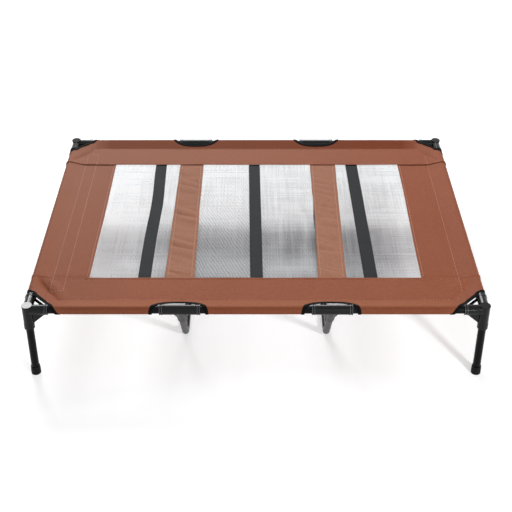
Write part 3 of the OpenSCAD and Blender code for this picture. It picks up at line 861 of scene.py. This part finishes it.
def stitch_row(start, end, height):
    """Stitches along a straight line in plan, as one array: a lens-shaped loop of five sides at five places
    along each stitch, set on the cloth by the function `height` of x and y. It reaches half as far into the
    cloth as it stands above it."""
    start, end = np.array(start), np.array(end)
    run = np.linalg.norm(end - start)
    heading = (end - start) / run
    count = max(int(run / stitch_pitch), 1)
    middle = (np.arange(count) + 0.5) * (run / count)
    share = np.array([-1.0, -0.6, 0.0, 0.6, 1.0])
    swell = np.array([0.0, 0.8, 1.0, 0.8, 0.0])[:, None]
    along = (middle[:, None] + share * stitch_length / 2)[..., None]
    turn = np.arange(stitch_sides) / stitch_sides * 2 * math.pi + math.pi / 2
    side = swell * stitch_width / 2 * np.cos(turn)
    rise = swell * stitch_rise * np.sin(turn) * np.where(np.sin(turn) > 0, 1, 0.5)
    x = start[0] + along * heading[0] - side * heading[1]
    y = start[1] + along * heading[1] + side * heading[0]
    return np.stack([x, y, rail_z + height(x, y) + rise], -1)


def rows_to_back(lines, clear, height):
    """Rows from the front of the opening to its back, ending `clear` short of both. A line is its even place
    in x, and how far to the right of that its front end and back end lie."""
    reach = opening_y - clear
    return [stitch_row((x + front, -reach), (x + back, reach), height) for x, front, back in lines]


def sew(name, rows, material):
    """One piece from many rows of stitches."""
    patches = [(stitch, stitch[..., :2], True) for stitch in np.concatenate(rows)]
    made = sewn_piece(name, patches, material, weld=1e-6)
    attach(made, "cot_frame")


def border_face(side):
    """The height of a border's upper face, as a function of x and y."""
    return lambda x, y: cover_top(side, x, y) + cloth / 2


def strip_face(middle, half):
    """The height of a strip's upper face, as a function of x and y."""
    return lambda x, y: strip_height(x, y, middle, half) + strip_ply / 2


thread_tan, tree, shader = new_finish("thread_tan", Specular_IOR_Level=0.45, Roughness=0.5)
lustre = cloudy(object_place(tree), 700.0, 2.0)
feed(shader, Base_Color=tinted(spread(lustre, 0.0, 1.0), paint(196, 152, 130), paint(226, 190, 170)))
bumped(shader, lustre, 0.3, 0.1 * mm)
thread_brown, tree, shader = new_finish("thread_brown", Specular_IOR_Level=0.3, Roughness=0.55)
place = object_place(tree)
lustre = cloudy(place, 240.0, 2.0)
worn = spread(cloudy(place, 9.0, 2.0), -0.5, 0.6, 0.35, 0.65)
tone = reckon("ADD", spread(lustre, 0.0, 0.8), worn, clamp=True)
feed(shader, Base_Color=tinted(tone, paint(112, 60, 40), paint(206, 154, 128)))
bumped(shader, lustre, 0.3, 0.1 * mm)

# The front hem is sewn further out. On the left, the rows shift to the right towards the back.
for side, turn, outward, shifted in (("front", -1, 4.5 * mm, 0.0), ("back", 1, 0.0, 5 * mm)):
    face = border_face(side)
    seam = turn * (rail_y - seam_reach - 3 * mm)
    hem = turn * (opening_y + hem_line + outward)
    sew(f"seam_stitches_{side}", [stitch_row((-seam_half, seam), (seam_half, seam), face),
                                  stitch_row((-hem_half, hem), (hem_half, hem), face)], thread_brown)
    box_end, open_end = turn * (rail_y - box_reach), turn * (opening_y + 2 * mm)
    outer, inner = outer_line + shifted - rail_x, inner_line + shifted / 2 - rail_x
    rows = [stitch_row((x, box_end), (x, open_end), face) for x in (outer, inner, rail_x - outer_line)]
    rows.append(stitch_row((outer + 1 * mm, box_end), (inner - 1 * mm, box_end), face))
    sew(f"border_stitches_{side}", rows, thread_tan)
hem_reach = border_width - hem_line
border_lines = {"left": [(outer_line - rail_x, 0.0, 5 * mm), (inner_line - rail_x, 0.0, 2.5 * mm),
                         (hem_reach - rail_x, 1 * mm, 5 * mm)],
                "right": [(rail_x - outer_line, 0.0, 0.0), (rail_x - hem_reach, -4.5 * mm, 0.0)]}
right_edge = {"left": (0.0, 0.0), "right": (-2.5 * mm, 5 * mm)}
for side, (middle, half) in strip_spans.items():
    sew(f"border_stitches_{side}", rows_to_back(border_lines[side], 1 * mm, border_face(side)), thread_tan)
    sewn = half - strip_line
    strip_lines = [(middle - sewn, 0.0, 4.5 * mm), (middle + sewn, *right_edge[side])]
    sew(f"strip_stitches_{side}", rows_to_back(strip_lines, 2 * mm, strip_face(middle, half)), thread_tan)


# Stage: a pale floor with soft shadows under broad lamps behind and above, and two small ones at the front
# right. The camera stands in front of the middle of the cot and looks down on it, as the picture was taken.
floor_half, floor_level = 30.0, -0.4 * mm
white = (1.0, 1.0, 1.0, 1.0)


def seen_white(tree):
    """1 for a ray from the camera or from a shiny or clear surface, and 0 for a ray that carries light."""
    rays = tree.nodes.new("ShaderNodeLightPath").outputs
    direct = reckon("MAXIMUM", rays["Is Camera Ray"], rays["Is Glossy Ray"])
    return reckon("MAXIMUM", direct, rays["Is Transmission Ray"])


floor_mesh = bpy.data.meshes.new("floor")
floor_signs = ((-1, -1), (1, -1), (1, 1), (-1, 1))
floor_corners = [(x * floor_half, y * floor_half, floor_level) for x, y in floor_signs]
floor_mesh.from_pydata(floor_corners, [], [(0, 1, 2, 3)])
floor = bpy.data.objects.new("floor", floor_mesh)
scene.collection.objects.link(floor)
floor_white, tree, shader = new_finish("floor_white", Roughness=0.6, Specular_IOR_Level=0.2,
                                       Base_Color=(0.915, 0.93, 0.94, 1.0))

# The floor fades to white away from the cot. Its glow is the largest of six shares: on the left, on the
# right, in front, under the front half of the bed, at the back, and all round at a distance.
place, spot = object_place(tree), place_parts(tree)
away = add_node("VectorMath", {0: place}, operation="LENGTH").outputs["Value"]
in_front = reckon("LESS_THAN", spot["Y"], -0.43)
aside = reckon("ABSOLUTE", reckon("SUBTRACT", spot["X"], 0.1))
under_bed = spread(aside, 0.38, 0.54, 0.2, 0.67)
glow = spread(spot["X"], 0.42, 0.0, -0.47, -0.25)
for share in (spread(spot["X"], 0.0, 0.42, 0.35, 0.65),
              reckon("MULTIPLY", spread(spot["Y"], 0.56, 0.38, -0.6, -0.43), in_front),
              reckon("MULTIPLY", spread(spot["Y"], 1.0, 0.0, -0.13, -0.02), under_bed),
              spread(spot["Y"], 0.0, 0.2, 0.2, 0.55),
              spread(away, 0.0, 1.0, 1.2, 2.4)):
    glow = reckon("MAXIMUM", glow, share)
strength = reckon("MULTIPLY", seen_white(tree), glow)
shine = add_node("Emission", {"Color": white, "Strength": strength})
both = add_node("AddShader", {0: shader.outputs[0], 1: shine.outputs[0]})
feed(tree.nodes["Material Output"], Surface=both.outputs[0])
floor_mesh.materials.append(floor_white)

world = bpy.data.worlds.new("studio")
scene.world = world
world.use_nodes = True
tree = world.node_tree
background = tree.nodes["Background"]
background.inputs["Color"].default_value = white
feed(background, Strength=spread(seen_white(tree), 0.18, 1.0, 0.0, 1.0))


def softbox(name, place, target, width, depth, watts):
    """A lamp with a flat face at a place, turned to face a target."""
    lamp = bpy.data.lights.new(name, "AREA")
    lamp.shape = "RECTANGLE"
    lamp.size, lamp.size_y, lamp.energy = width, depth, watts
    made = bpy.data.objects.new(name, lamp)
    scene.collection.objects.link(made)
    made.location = place
    way = np.array(target) - np.array(place)
    tilt, heading = math.acos(-way[2] / np.linalg.norm(way)), math.atan2(way[0], -way[1]) + math.pi
    made.rotation_euler = (tilt, 0, heading)


softbox("lamp_behind", (-0.6, 2.55, 2.45), (0, 0, 0.2), 2.6, 1.5, 68.0)
softbox("lamp_strip", (-0.6, 2.5, 2.4), (0, 0, 0.2), 2.6, 0.22, 34.0)
softbox("lamp_front", (1.85, -2.85, 1.9), (0, 0, 0.2), 0.35, 0.35, 62.0)
softbox("lamp_gleam", (1.08, -2.9, 1.11), (0.55, -0.44, 0.2), 0.12, 0.12, 3.0)

camera_data = bpy.data.cameras.new("camera")
camera_data.sensor_width = 36.0
camera_data.lens = 72.7
camera_data.shift_y = -0.0996
camera_object = bpy.data.objects.new("camera", camera_data)
scene.collection.objects.link(camera_object)
camera_object.location = (0.0, -2.564, 1.8885)
camera_object.rotation_euler = (math.radians(57.5), 0.0, 0.0)
scene.camera = camera_object
scene.view_settings.view_transform = "Standard"
